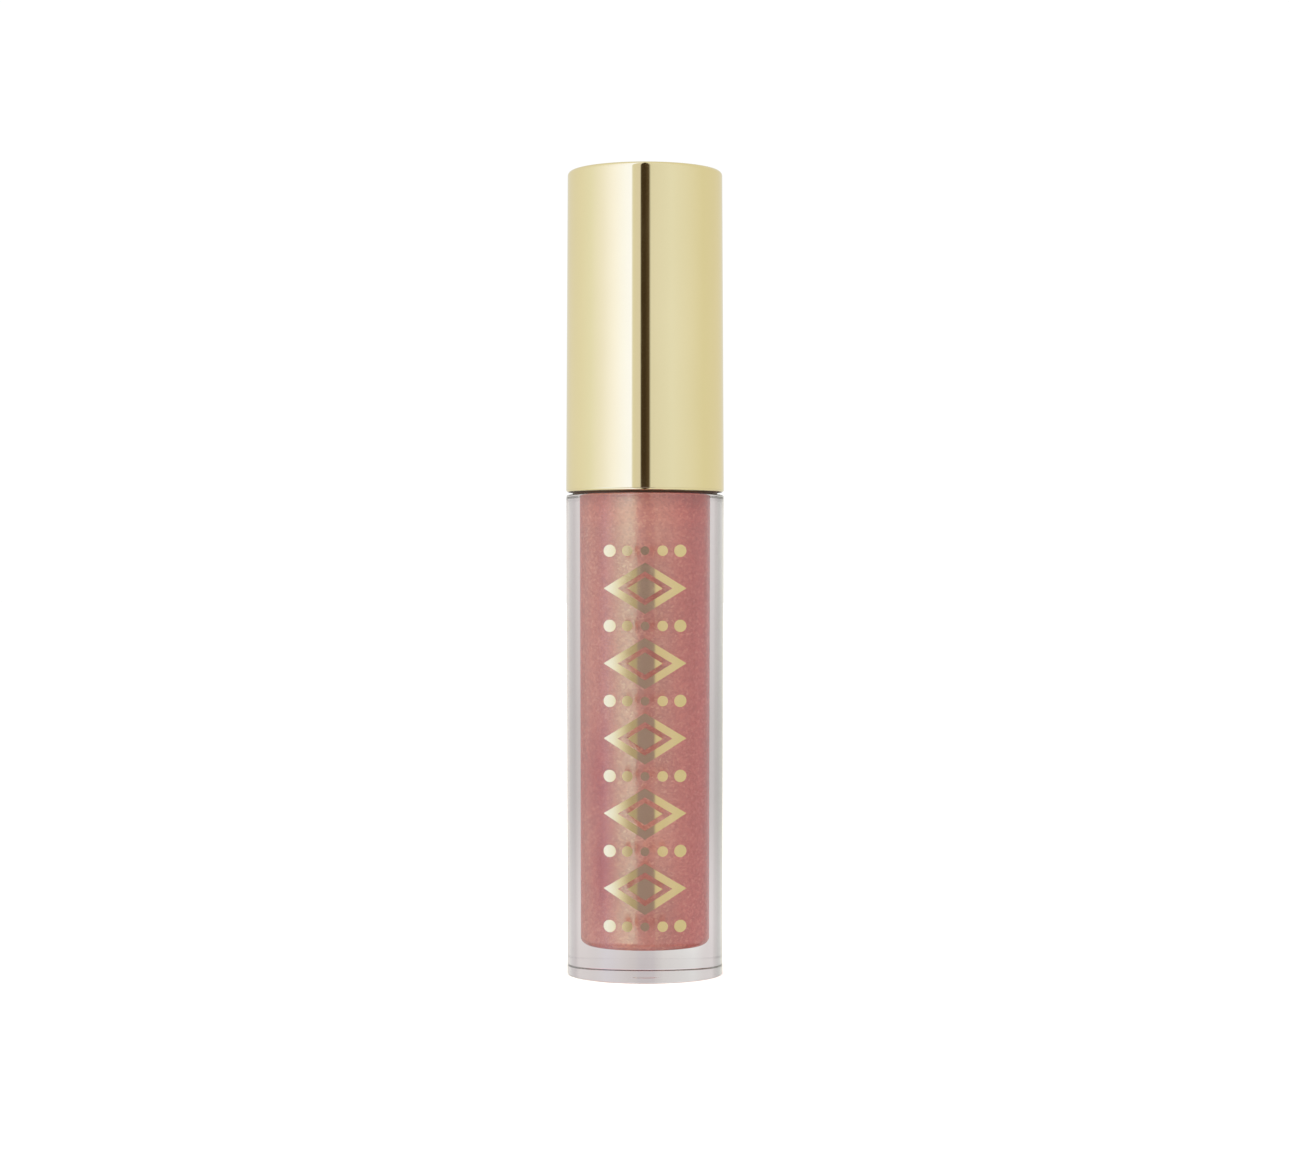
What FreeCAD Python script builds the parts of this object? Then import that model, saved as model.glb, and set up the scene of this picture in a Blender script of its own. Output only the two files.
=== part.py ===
"""Lip gloss tube: a thick-walled clear bottle, a screw cap in two shells and the wand that it carries.

Millimetres, +Z up. The origin is the middle of the bottle's base, and the decorated front faces -Y.
"""

import FreeCAD, Part
import os

import Sketcher

SIZES = [
    # Bottle: a heavy clear vial, drafted a little wider towards its shoulder.
    ("bottle_foot_radius", 8.98),
    ("bottle_shoulder_radius", 9.13),
    ("shoulder_height", 55.5),
    ("foot_round", 0.15),
    ("shoulder_round", 0.25),
    ("gate_radius", 1.1),
    ("gate_depth", 0.05),
    ("cavity_floor", 3.35),
    ("cavity_foot_radius", 4.7),
    ("cavity_round", 0.9),
    ("step_radius", 7.2),
    ("step_top", 56.3),
    ("bead_radius", 7.3),
    ("bead_foot", 56.9),
    ("bead_top", 57.9),
    ("neck_radius", 5.75),
    ("neck_top", 69.6),
    ("neck_bore_radius", 4.8),
    ("neck_bore_foot", 56.8),
    # Thread on the neck and in the inner cap. The two crests clear each other.
    ("thread_pitch", 3.0),
    ("thread_turns", 1.5),
    ("thread_foot_width", 1.3),
    ("thread_crest_width", 0.5),
    ("thread_root_bite", 0.15),
    ("neck_thread_radius", 6.5),
    ("neck_thread_start", 61.3),
    ("cap_thread_radius", 6.6),
    ("cap_thread_start", 59.8),
    # Wiper: a soft insert pressed in the neck.
    ("wiper_flange_radius", 5.6),
    ("wiper_top", 70.4),
    ("wiper_radius", 4.83),
    ("wiper_bore_radius", 3.85),
    ("wiper_tube_foot", 60.8),
    ("wiper_lip_foot", 57.5),
    ("wiper_lip_radius", 2.2),
    ("wiper_wall", 0.6),
    # Product in the cavity, around the wand.
    ("gloss_clearance", 0.02),
    ("gloss_top", 56.75),
    ("gloss_channel_radius", 2.3),
    ("gloss_channel_floor", 4.9),
    # Outer cap: a drafted shell, wider at its open rim.
    ("cap_rim", 55.82),
    ("cap_top", 93.0),
    ("cap_rim_radius", 9.15),
    ("cap_top_radius", 8.97),
    ("cap_bore_rim_radius", 8.45),
    ("cap_bore_top_radius", 8.25),
    ("cap_roof", 91.8),
    ("cap_top_round", 0.5),
    ("cap_rim_round", 0.3),
    # Inner cap: a foot that closes the gap under the shell, threaded skirt, web, and an upper tube.
    ("inner_foot", 55.58),
    ("inner_foot_radius", 8.4),
    ("inner_foot_bore_radius", 7.6),
    ("skirt_foot", 58.5),
    ("skirt_radius", 8.0),
    ("skirt_bore_radius", 7.3),
    ("web_foot", 72.0),
    ("web_top", 73.6),
    ("web_hole_radius", 3.85),
    ("tube_radius", 7.6),
    ("tube_bore_radius", 6.8),
    ("tube_top", 91.6),
    ("collar_radius", 6.0),
    ("collar_bore_radius", 5.08),
    ("collar_bead_radius", 4.9),
    ("collar_top", 75.6),
    ("rib_count", 12),
    ("rib_width", 0.8),
    ("rib_foot", 60.0),
    ("rib_top", 90.0),
    ("rib_root_radius", 7.3),
    ("rib_foot_radius", 8.458),
    ("rib_top_radius", 8.29),
    # Sealing washer under the web.
    ("liner_foot", 70.45),
    ("liner_top", 71.97),
    ("liner_radius", 7.1),
    ("liner_bore_radius", 3.95),
    # Wand stem: flange and button, plug for the wiper, shaft with a socket in its end.
    ("button_radius", 3.0),
    ("button_top", 76.2),
    ("flange_radius", 5.0),
    ("flange_top", 74.6),
    ("plug_radius", 3.75),
    ("plug_foot", 68.0),
    ("shaft_radius", 1.8),
    ("shaft_top", 66.2),
    ("shaft_foot", 19.0),
    ("shaft_round", 0.3),
    ("socket_radius", 1.0),
    ("socket_top", 26.0),
    # Doe-foot applicator: a moulded core with a barbed shank, and the flock on it.
    ("core_radius", 1.35),
    ("core_foot", 6.2),
    ("core_top", 18.9),
    ("core_tip_round", 1.2),
    ("shank_radius", 0.95),
    ("shank_barb_radius", 1.03),
    ("shank_top", 25.3),
    ("flock_radius", 2.05),
    ("flock_foot", 5.5),
    ("flock_top", 18.7),
    ("flock_tip_round", 1.9),
    ("flock_top_round", 0.7),
    ("slant_tip", 0.3),
    ("slant_top", 16.5),
    ("flock_depth", 0.7),
    # Gold ornament on the front: framed lozenges with a row of dots between each two.
    ("foil_gap", 0.01),
    ("foil_thickness", 0.025),
    ("foil_middle", 27.7),
    ("lozenge_pitch", 8.5),
    ("lozenge_count", 5),
    ("frame_half_width", 4.7),
    ("frame_half_height", 2.9),
    ("window_half_width", 3.1),
    ("window_half_height", 1.9),
    ("core_half_width", 2.0),
    ("core_half_height", 1.25),
    ("middle_dot_radius", 0.5),
    ("inner_dot_radius", 0.6),
    ("inner_dot_offset", 2.0),
    ("outer_dot_radius", 0.7),
    ("outer_dot_offset", 4.0),
    ("ornament_reach", 12.0),
]

# Barbs on the applicator's shank.
BARB_COUNT = 3
BARB_PITCH = 1.6
BARB_RISE = 0.4

doc = FreeCAD.newDocument("LipGlossTube")
sheet = doc.addObject("Spreadsheet::Sheet", "Sizes")
for row, (alias, number) in enumerate(SIZES, 1):
    sheet.set("A%d" % row, alias)
    sheet.set("B%d" % row, str(number))
    sheet.setAlias("B%d" % row, alias)
doc.recompute()


def number_of(formula):
    """Value of a sum of cells and numbers, such as 'cap_top - cap_rim'."""
    total = 0.0
    sign = 1
    for word in formula.split():
        if word == "+":
            sign = 1
        elif word == "-":
            sign = -1
        elif word.isidentifier():
            total += sign * float(sheet.get(word))
        else:
            total += sign * float(word)
    return total


def bound(formula):
    """The same sum as an expression on the sheet."""
    return " ".join("Sizes." + word if word.isidentifier() else word for word in formula.split())


def new_body(label):
    body = doc.addObject("PartDesign::Body", label)
    body.Label = label
    body.Placement = FreeCAD.Placement()
    return body


def new_sketch(body, name, role="XZ_Plane"):
    sketch = body.newObject("Sketcher::SketchObject", name)
    plane = [item for item in body.Origin.OriginFeatures if item.Role == role][0]
    sketch.AttachmentSupport = [(plane, "")]
    sketch.MapMode = "FlatFace"
    return sketch


def pin_point(sketch, line, across, up):
    """Ties the start of a line to the sheet, as distances from the sketch's origin."""
    for kind, formula, axis in (("DistanceX", across, -2), ("DistanceY", up, -1)):
        value = number_of(formula)
        if value == 0.0:
            sketch.addConstraint(Sketcher.Constraint("PointOnObject", line, 1, axis))
            continue
        sketch.addConstraint(Sketcher.Constraint(kind, -1, 1, line, 1, value))
        sketch.setExpression("Constraints[%d]" % (sketch.ConstraintCount - 1), bound(formula))


def add_outline(sketch, corners):
    """Closed run of straight lines through corners given as pairs of formulas."""
    first = sketch.GeometryCount
    points = [FreeCAD.Vector(number_of(across), number_of(up), 0) for across, up in corners]
    for start, end in zip(points, points[1:] + points[:1]):
        sketch.addGeometry(Part.LineSegment(start, end), False)
    for index in range(len(corners)):
        following = first + (index + 1) % len(corners)
        sketch.addConstraint(Sketcher.Constraint("Coincident", first + index, 2, following, 1))
    for index, (across, up) in enumerate(corners):
        pin_point(sketch, first + index, across, up)


def revolve(body, name, corners):
    """Turns a half section, given as radius and height, about the upright axis."""
    sketch = new_sketch(body, name + "_section")
    add_outline(sketch, corners)
    turned = body.newObject("PartDesign::Revolution", name)
    turned.Profile = sketch
    turned.ReferenceAxis = (sketch, ["V_Axis"])
    turned.Angle = 360
    doc.recompute()
    return turned


def ring_edges(shape, rings):
    """Names of the circular edges at the given radii and heights."""
    names = []
    for radius, height in rings:
        wanted = (number_of(radius), number_of(height))
        for index, edge in enumerate(shape.Edges, 1):
            curve = edge.Curve
            if not isinstance(curve, Part.Circle):
                continue
            if abs(curve.Radius - wanted[0]) < 0.001 and abs(curve.Center.z - wanted[1]) < 0.001:
                names.append("Edge%d" % index)
    return names


def round_rings(body, name, radius, *rings):
    """Fillet on circular edges of the body's latest feature."""
    base = body.Tip
    fillet = body.newObject("PartDesign::Fillet", name)
    fillet.Base = (base, ring_edges(base.Shape, rings))
    fillet.setExpression("Radius", bound(radius))
    doc.recompute()
    return fillet


def thread(body, name, root, crest, start):
    """Raised helical ridge from the root radius to the crest radius, right-handed."""
    half_foot = number_of("thread_foot_width") / 2
    half_crest = number_of("thread_crest_width") / 2
    sketch = new_sketch(body, name + "_section")
    section = [
        (root, start + " - %g" % half_foot),
        (crest, start + " - %g" % half_crest),
        (crest, start + " + %g" % half_crest),
        (root, start + " + %g" % half_foot),
    ]
    add_outline(sketch, section)
    ridge = body.newObject("PartDesign::AdditiveHelix", name)
    ridge.Profile = sketch
    ridge.ReferenceAxis = (sketch, ["V_Axis"])
    ridge.Mode = 0
    ridge.setExpression("Pitch", "Sizes.thread_pitch")
    ridge.setExpression("Height", "Sizes.thread_pitch * Sizes.thread_turns")
    doc.recompute()
    return ridge


def make_bottle():
    """One moulding: heavy base, thick wall, step ring, transfer bead and threaded neck."""
    body = new_body("bottle")
    corners = [
        ("0", "gate_depth"),
        ("gate_radius", "gate_depth"),
        ("gate_radius", "0"),
        ("bottle_foot_radius", "0"),
        ("bottle_shoulder_radius", "shoulder_height"),
        ("step_radius", "shoulder_height"),
        ("step_radius", "step_top"),
        ("neck_radius", "step_top"),
        ("neck_radius", "bead_foot"),
        ("bead_radius", "bead_foot"),
        ("bead_radius", "bead_top"),
        ("neck_radius", "bead_top"),
        ("neck_radius", "neck_top"),
        ("neck_bore_radius", "neck_top"),
        ("neck_bore_radius", "neck_bore_foot"),
        ("cavity_foot_radius", "cavity_floor"),
        ("0", "cavity_floor"),
    ]
    revolve(body, "vial", corners)
    round_rings(body, "foot_edge", "foot_round", ("bottle_foot_radius", "0"))
    round_rings(body, "shoulder_edge", "shoulder_round", ("bottle_shoulder_radius", "shoulder_height"))
    round_rings(body, "cavity_corner", "cavity_round", ("cavity_foot_radius", "cavity_floor"))
    thread(body, "neck_thread", "neck_radius - thread_root_bite", "neck_thread_radius", "neck_thread_start")
    return body


def make_wiper():
    """Flanged sleeve with a cone and a thin lip that strips the wand."""
    body = new_body("wiper")
    corners = [
        ("wiper_bore_radius", "wiper_top"),
        ("wiper_flange_radius", "wiper_top"),
        ("wiper_flange_radius", "neck_top"),
        ("wiper_radius", "neck_top"),
        ("wiper_radius", "wiper_tube_foot"),
        ("wiper_lip_radius + wiper_wall", "wiper_lip_foot"),
        ("wiper_lip_radius", "wiper_lip_foot"),
        ("wiper_lip_radius", "wiper_lip_foot + wiper_wall"),
        ("wiper_bore_radius", "wiper_tube_foot + wiper_wall"),
    ]
    revolve(body, "sleeve", corners)
    return body


def make_lip_gloss():
    """The product: it fills the cavity to above the shoulder and leaves a channel for the wand."""
    body = new_body("lip_gloss")
    corners = [
        ("0", "cavity_floor + gloss_clearance"),
        ("cavity_foot_radius - gloss_clearance", "cavity_floor + gloss_clearance"),
        ("neck_bore_radius - gloss_clearance", "gloss_top"),
        ("gloss_channel_radius", "gloss_top"),
        ("gloss_channel_radius", "gloss_channel_floor"),
        ("0", "gloss_channel_floor"),
    ]
    revolve(body, "fill", corners)
    foot = ("cavity_foot_radius - gloss_clearance", "cavity_floor + gloss_clearance")
    round_rings(body, "fill_corner", "cavity_round", foot)
    return body


def make_outer_cap():
    """Metallised shell: flat top, drafted wall and an open rim."""
    body = new_body("outer_cap")
    corners = [
        ("0", "cap_roof"),
        ("cap_bore_top_radius", "cap_roof"),
        ("cap_bore_rim_radius", "cap_rim"),
        ("cap_rim_radius", "cap_rim"),
        ("cap_top_radius", "cap_top"),
        ("0", "cap_top"),
    ]
    revolve(body, "shell", corners)
    round_rings(body, "top_edge", "cap_top_round", ("cap_top_radius", "cap_top"))
    round_rings(body, "rim_edge", "cap_rim_round", ("cap_rim_radius", "cap_rim"))
    round_rings(body, "roof_corner", "cap_rim_round", ("cap_bore_top_radius", "cap_roof"))
    return body


def make_inner_cap():
    """Wide foot, threaded skirt, web with a snap collar for the stem, upper tube, and ribs for the shell."""
    body = new_body("inner_cap")
    corners = [
        ("inner_foot_bore_radius", "inner_foot"),
        ("inner_foot_radius", "inner_foot"),
        ("inner_foot_radius", "skirt_foot"),
        ("skirt_radius", "skirt_foot"),
        ("skirt_radius", "web_top"),
        ("tube_radius", "web_top"),
        ("tube_radius", "tube_top"),
        ("tube_bore_radius", "tube_top"),
        ("tube_bore_radius", "web_top"),
        ("collar_radius", "web_top"),
        ("collar_radius", "collar_top"),
        ("collar_bore_radius + 0.12", "collar_top"),
        ("collar_bead_radius", "flange_top + 0.45"),
        ("collar_bore_radius", "flange_top + 0.05"),
        ("collar_bore_radius", "web_top"),
        ("web_hole_radius", "web_top"),
        ("web_hole_radius", "web_foot"),
        ("skirt_bore_radius", "web_foot"),
        ("skirt_bore_radius", "skirt_foot"),
        ("inner_foot_bore_radius", "skirt_foot"),
    ]
    revolve(body, "liner_tube", corners)
    thread_root = "skirt_bore_radius + thread_root_bite"
    thread(body, "cap_thread", thread_root, "cap_thread_radius", "cap_thread_start")
    rib_section = new_sketch(body, "rib_section")
    rib_corners = [
        ("rib_root_radius + thread_root_bite", "rib_foot"),
        ("rib_foot_radius", "rib_foot"),
        ("rib_top_radius", "rib_top"),
        ("rib_root_radius + thread_root_bite", "rib_top"),
    ]
    add_outline(rib_section, rib_corners)
    rib = body.newObject("PartDesign::Pad", "rib")
    rib.Profile = rib_section
    rib.SideType = "Symmetric"
    rib.setExpression("Length", "Sizes.rib_width")
    doc.recompute()
    ribs = body.newObject("PartDesign::PolarPattern", "ribs")
    ribs.Originals = [rib]
    ribs.Axis = (rib_section, ["V_Axis"])
    ribs.Angle = 360
    ribs.setExpression("Occurrences", "Sizes.rib_count")
    body.Tip = ribs
    doc.recompute()
    return body


def make_cap_liner():
    """Flat washer that seals the neck against the web."""
    body = new_body("cap_liner")
    corners = [
        ("liner_bore_radius", "liner_foot"),
        ("liner_radius", "liner_foot"),
        ("liner_radius", "liner_top"),
        ("liner_bore_radius", "liner_top"),
    ]
    revolve(body, "washer", corners)
    return body


def make_wand_stem():
    """Moulded rod: button and flange in the snap collar, plug, taper, shaft and end socket."""
    body = new_body("wand_stem")
    corners = [
        ("0", "socket_top"),
        ("socket_radius", "socket_top"),
        ("socket_radius", "shaft_foot"),
        ("shaft_radius", "shaft_foot"),
        ("shaft_radius", "shaft_top"),
        ("plug_radius", "plug_foot"),
        ("plug_radius", "web_top"),
        ("flange_radius", "web_top"),
        ("flange_radius", "flange_top"),
        ("button_radius", "flange_top"),
        ("button_radius", "button_top"),
        ("0", "button_top"),
    ]
    revolve(body, "rod", corners)
    round_rings(body, "shaft_edge", "shaft_round", ("shaft_radius", "shaft_foot"))
    round_rings(body, "button_edge", "shaft_round", ("button_radius", "button_top"))
    return body


def slant_cut(body, name, tip, foot):
    """Slices the applicator's back off along a plane that leans out from the tip."""
    sketch = new_sketch(body, name + "_section", "YZ_Plane")
    corners = [
        (tip, foot + " - 1"),
        ("flock_radius + 1", foot + " - 1"),
        ("flock_radius + 1", "slant_top + 2"),
    ]
    add_outline(sketch, corners)
    slice_cut = body.newObject("PartDesign::Pocket", name)
    slice_cut.Profile = sketch
    slice_cut.SideType = "Symmetric"
    slice_cut.setExpression("Length", "Sizes.flock_radius * 4")
    doc.recompute()
    return slice_cut


def make_applicator_core():
    """Moulded doe-foot with a barbed shank that is pressed in the stem's socket."""
    body = new_body("applicator_core")
    corners = [
        ("0", "core_foot"),
        ("core_radius", "core_foot"),
        ("core_radius", "core_top"),
        ("shank_radius", "core_top"),
    ]
    for barb in range(BARB_COUNT):
        foot = "core_top + %g" % (BARB_PITCH * (barb + 1))
        corners.append(("shank_radius", foot + " - %g" % BARB_RISE))
        corners.append(("shank_barb_radius", foot))
        corners.append(("shank_radius", foot + " + %g" % BARB_RISE))
    corners.append(("shank_radius", "shank_top"))
    corners.append(("0", "shank_top"))
    revolve(body, "paddle", corners)
    round_rings(body, "core_tip", "core_tip_round", ("core_radius", "core_foot"))
    slant_cut(body, "core_slant", "slant_tip - flock_depth", "core_foot")
    return body


def make_applicator_flock(core):
    """Flock coat: a larger doe-foot with the core's own shape taken out of it."""
    form = new_body("flock_form")
    corners = [
        ("0", "flock_foot"),
        ("flock_radius", "flock_foot"),
        ("flock_radius", "flock_top"),
        ("0", "flock_top"),
    ]
    revolve(form, "coat", corners)
    round_rings(form, "coat_tip", "flock_tip_round", ("flock_radius", "flock_foot"))
    round_rings(form, "coat_top", "flock_top_round", ("flock_radius", "flock_top"))
    slant_cut(form, "coat_slant", "slant_tip", "flock_foot")
    coat = doc.addObject("Part::Cut", "applicator_flock")
    coat.Base = form
    coat.Tool = core
    coat.Label = "applicator_flock"
    doc.recompute()
    return coat


def lozenge(half_width, half_height, middle):
    """Corners of an upright rhombus centred on the front."""
    return [
        ("0 - " + half_width, middle),
        ("0", middle + " - " + half_height),
        (half_width, middle),
        ("0", middle + " + " + half_height),
    ]


def add_dot(sketch, radius, offset, side):
    """Circle of the lowest row of dots: side is -1, 0 or 1."""
    across = side * number_of(offset)
    up = number_of("foil_middle") - number_of("lozenge_pitch") * number_of("lozenge_count") / 2
    circle = Part.Circle(FreeCAD.Vector(across, up, 0), FreeCAD.Vector(0, 0, 1), number_of(radius))
    index = sketch.addGeometry(circle, False)
    bindings = [
        (Sketcher.Constraint("Radius", index, circle.Radius), bound(radius)),
        (
            Sketcher.Constraint("DistanceY", -1, 1, index, 3, up),
            "Sizes.foil_middle - Sizes.lozenge_pitch * Sizes.lozenge_count / 2",
        ),
    ]
    if side == 0:
        sketch.addConstraint(Sketcher.Constraint("PointOnObject", index, 3, -2))
    else:
        distance = Sketcher.Constraint("DistanceX", -1, 1, index, 3, across)
        bindings.append((distance, "%d * Sizes.%s" % (side, offset)))
    for constraint, expression in bindings:
        sketch.addConstraint(constraint)
        sketch.setExpression("Constraints[%d]" % (sketch.ConstraintCount - 1), expression)


def repeat_upwards(body, name, feature, section, count, reach):
    """Copies a feature up the front at the lozenges' pitch."""
    rows = body.newObject("PartDesign::LinearPattern", name)
    rows.Originals = [feature]
    rows.Direction = (section, ["V_Axis"])
    rows.setExpression("Length", reach)
    rows.setExpression("Occurrences", count)
    body.Tip = rows
    doc.recompute()
    return rows


def pad_forward(body, name, section):
    pad = body.newObject("PartDesign::Pad", name)
    pad.Profile = section
    pad.setExpression("Length", "Sizes.ornament_reach")
    doc.recompute()
    return pad


def make_foil_motif():
    """Thin gold ornament that lies on the bottle's drafted front, just clear of the plastic."""
    body = new_body("ornament_form")
    body.AllowCompound = True
    first_lozenge = "foil_middle - lozenge_pitch - lozenge_pitch"
    section = new_sketch(body, "lozenge_section")
    for half_width, half_height in (
        ("frame_half_width", "frame_half_height"),
        ("window_half_width", "window_half_height"),
        ("core_half_width", "core_half_height"),
    ):
        add_outline(section, lozenge(half_width, half_height, first_lozenge))
    pad = pad_forward(body, "lozenge_pad", section)
    count = "Sizes.lozenge_count"
    reach = "Sizes.lozenge_pitch * (Sizes.lozenge_count - 1)"
    repeat_upwards(body, "lozenges", pad, section, count, reach)

    dots = new_sketch(body, "dot_section")
    add_dot(dots, "middle_dot_radius", "middle_dot_radius", 0)
    for side in (-1, 1):
        add_dot(dots, "inner_dot_radius", "inner_dot_offset", side)
        add_dot(dots, "outer_dot_radius", "outer_dot_offset", side)
    dot_pad = pad_forward(body, "dot_pad", dots)
    reach = "Sizes.lozenge_pitch * Sizes.lozenge_count"
    repeat_upwards(body, "dot_rows", dot_pad, dots, count + " + 1", reach)

    cones = []
    for name, lift in (("foil_outside", "foil_gap + foil_thickness"), ("foil_inside", "foil_gap")):
        cone = doc.addObject("Part::Cone", name)
        cone.setExpression("Radius1", bound("bottle_foot_radius + " + lift))
        cone.setExpression("Radius2", bound("bottle_shoulder_radius + " + lift))
        cone.setExpression("Height", "Sizes.shoulder_height")
        cones.append(cone)
    skin = doc.addObject("Part::Cut", "foil_skin")
    skin.Base, skin.Tool = cones
    foil = doc.addObject("Part::Common", "foil_motif")
    foil.Base = skin
    foil.Tool = body
    foil.Label = "foil_motif"
    doc.recompute()
    return foil


core_body = make_applicator_core()
nodes = [
    make_bottle(),
    make_wiper(),
    make_lip_gloss(),
    make_foil_motif(),
    make_outer_cap(),
    make_inner_cap(),
    make_cap_liner(),
    make_wand_stem(),
    core_body,
    make_applicator_flock(core_body),
]
doc.recompute()

for item in doc.Objects:
    if "Invalid" in item.State or "Error" in item.State:
        raise RuntimeError("%s failed: %s" % (item.Label, item.State))
for node in nodes:
    if node.Shape.isNull() or not node.Shape.isValid():
        raise RuntimeError("%s has no valid shape" % node.Label)

os.makedirs("parts", exist_ok=True)
for node in nodes:
    node.Shape.exportStep("parts/%s.step" % node.Label)
    print("%-18s %2d solids %9.2f mm3" % (node.Label, len(node.Shape.Solids), node.Shape.Volume))
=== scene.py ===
import math

import bpy
import numpy as np
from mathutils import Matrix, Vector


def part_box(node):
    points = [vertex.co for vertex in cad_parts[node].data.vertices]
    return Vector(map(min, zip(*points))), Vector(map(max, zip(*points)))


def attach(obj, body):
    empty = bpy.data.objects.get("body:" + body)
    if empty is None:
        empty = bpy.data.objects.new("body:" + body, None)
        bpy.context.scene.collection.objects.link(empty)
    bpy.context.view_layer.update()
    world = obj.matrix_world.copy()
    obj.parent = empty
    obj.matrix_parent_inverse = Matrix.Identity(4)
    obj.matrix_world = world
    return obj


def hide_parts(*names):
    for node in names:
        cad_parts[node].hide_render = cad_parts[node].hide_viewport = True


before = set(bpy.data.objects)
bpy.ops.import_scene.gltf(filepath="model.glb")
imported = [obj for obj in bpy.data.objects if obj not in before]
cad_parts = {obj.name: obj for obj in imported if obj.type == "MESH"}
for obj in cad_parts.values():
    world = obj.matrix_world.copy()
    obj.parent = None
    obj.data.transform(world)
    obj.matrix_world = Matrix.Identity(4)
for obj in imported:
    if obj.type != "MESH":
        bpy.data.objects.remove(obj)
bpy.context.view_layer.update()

# The looks of the lip gloss tube. Lengths are in metres, made from millimetres.
MM = 0.001

# Steps round a turned piece and along a rounded corner.
SEGMENTS = 256
ARC_STEPS = 8

# Outline of the bottle, repeated from the CAD model.
FOOT_RADIUS = 8.98 * MM
FOOT_ROUND = 0.15 * MM
GATE_RADIUS = 1.1 * MM
GATE_DEPTH = 0.05 * MM
GATE_ROUND = 0.02 * MM
SHOULDER_RADIUS = 9.13 * MM
SHOULDER_HEIGHT = 55.5 * MM
SHOULDER_ROUND = 0.25 * MM
STEP_RADIUS = 7.2 * MM
STEP_TOP = 56.3 * MM
STEP_FOOT_ROUND = 0.08 * MM
STEP_ROUND = 0.1 * MM
BEAD_RADIUS = 7.3 * MM
BEAD_FOOT = 56.9 * MM
BEAD_TOP = 57.9 * MM
BEAD_ROUND = 0.15 * MM
NECK_RADIUS = 5.75 * MM
NECK_TOP_ROUND = 0.2 * MM
NECK_BORE = 4.8 * MM
NECK_BORE_FOOT = 56.8 * MM
BORE_TOP_ROUND = 0.1 * MM
BORE_FOOT_ROUND = 0.3 * MM
CAVITY_FLOOR = 3.35 * MM
CAVITY_FOOT_RADIUS = 4.7 * MM
CAVITY_ROUND = 0.9 * MM

# Thread on the neck, and the spacing of the rows of vertices that carry it.
THREAD_PITCH = 3.0 * MM
THREAD_TURNS = 1.5
THREAD_START = 61.3 * MM
THREAD_DEPTH = 0.75 * MM
THREAD_FOOT_WIDTH = 1.3 * MM
THREAD_CREST_WIDTH = 0.5 * MM
THREAD_RUN_OUT = math.radians(25)
THREAD_ROW = 0.09 * MM
# Small steps, up and round, over which the thread's slope is measured.
SLOPE_RISE = 0.02 * MM
SLOPE_TURN = 0.002
# A row of vertices is on an upright wall when its normal points out by more than this share.
UPRIGHT = 0.99
# A face looks down when its normal points up by less than this share.
DOWNWARD = -0.9
# Lengths that differ by less than this are the same.
SAME_LENGTH = 1e-7

# Cap shell.
CAP_WALL_AT_RIM = 0.7 * MM
CAP_WALL_AT_TOP = 0.72 * MM
CAP_TOP_THICKNESS = 1.2 * MM
CAP_TOP_RADIUS = 8.97 * MM
CAP_TOP_ROUND = 0.5 * MM
CAP_RIM_ROUND = 0.3 * MM
CAP_INSIDE_TOP_ROUND = 0.3 * MM
CAP_INSIDE_RIM_ROUND = 0.1 * MM

# Product: it overlaps the cavity's wall a little, so that it wets it, and has a channel for the wand.
WET_CONTACT = 0.02 * MM
LEVEL_ROUND = 0.05 * MM
CHANNEL_RADIUS = 2.3 * MM
CHANNEL_FLOOR = 4.9 * MM
CHANNEL_TOP_ROUND = 0.3 * MM
CHANNEL_FLOOR_ROUND = 0.5 * MM
# Slow swirls in it: the middle of each, its reach across, and its tint. In millimetres.
SWIRLS = (
    ((-4.3, -2.1, 23.0), 5.0, (0.85, 0.54, 0.56)),
    ((-3.5, -3.2, 12.2), 4.2, (0.80, 0.44, 0.43)),
    ((0.6, -4.7, 17.5), 3.0, (1.20, 1.36, 1.34)),
    ((2.2, -4.2, 4.0), 4.0, (0.84, 0.68, 0.70)),
)
# Painted shade on its right side: a deeper tone where less light falls, which sets in over this span of
# distances from the middle plane.
SHADED_SIDE = (2.2 * MM, 4.2 * MM)
SHADED_SIDE_TINT = (0.96, 0.70, 0.82)
# Painted light under the shoulder: a lighter, warmer tone that offsets the cap's shade there, which sets
# in over this span of heights.
LIT_TOP_SPAN = (51.5 * MM, 55.1 * MM)
LIT_TOP_TINT = (1.42, 1.15, 1.1)

# Moulded plastic: the darker tone as a share of the colour, and how far the roughness wanders.
MOULDED_DARK = 0.95
MOULDED_WEAR = 0.12
# The film that product leaves on it: the height over which it fades in, how its cover follows a noise,
# its colour and its roughness.
FILM_FADE = 4 * MM
FILM_NOISE = (0.35, 0.6)
FILM_COVER = (0.45, 0.9)
FILM_COLOUR = (0.36, 0.125, 0.095)
FILM_ROUGHNESS = 0.12

# Gold ornament. Half sizes are across and up; each dot is its distance from the middle and its radius.
FOIL_GAP = 0.01 * MM
FOIL_THICKNESS = 0.024 * MM
LOZENGE_PITCH = 8.5 * MM
LOZENGE_COUNT = 5
FRAME_HALF = (4.7 * MM, 2.9 * MM)
WINDOW_HALF = (3.1 * MM, 1.9 * MM)
CORE_HALF = (2.0 * MM, 1.25 * MM)
DOTS = ((0.0, 0.5 * MM), (2.0 * MM, 0.6 * MM), (4.0 * MM, 0.7 * MM))
# Steps along an edge or round a dot, and rows from the edge inwards.
FRAME_STEPS, FRAME_ROWS = 20, 4
CORE_STEPS, CORE_ROWS = 10, 6
DOT_STEPS, DOT_ROWS = 32, 3

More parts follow.
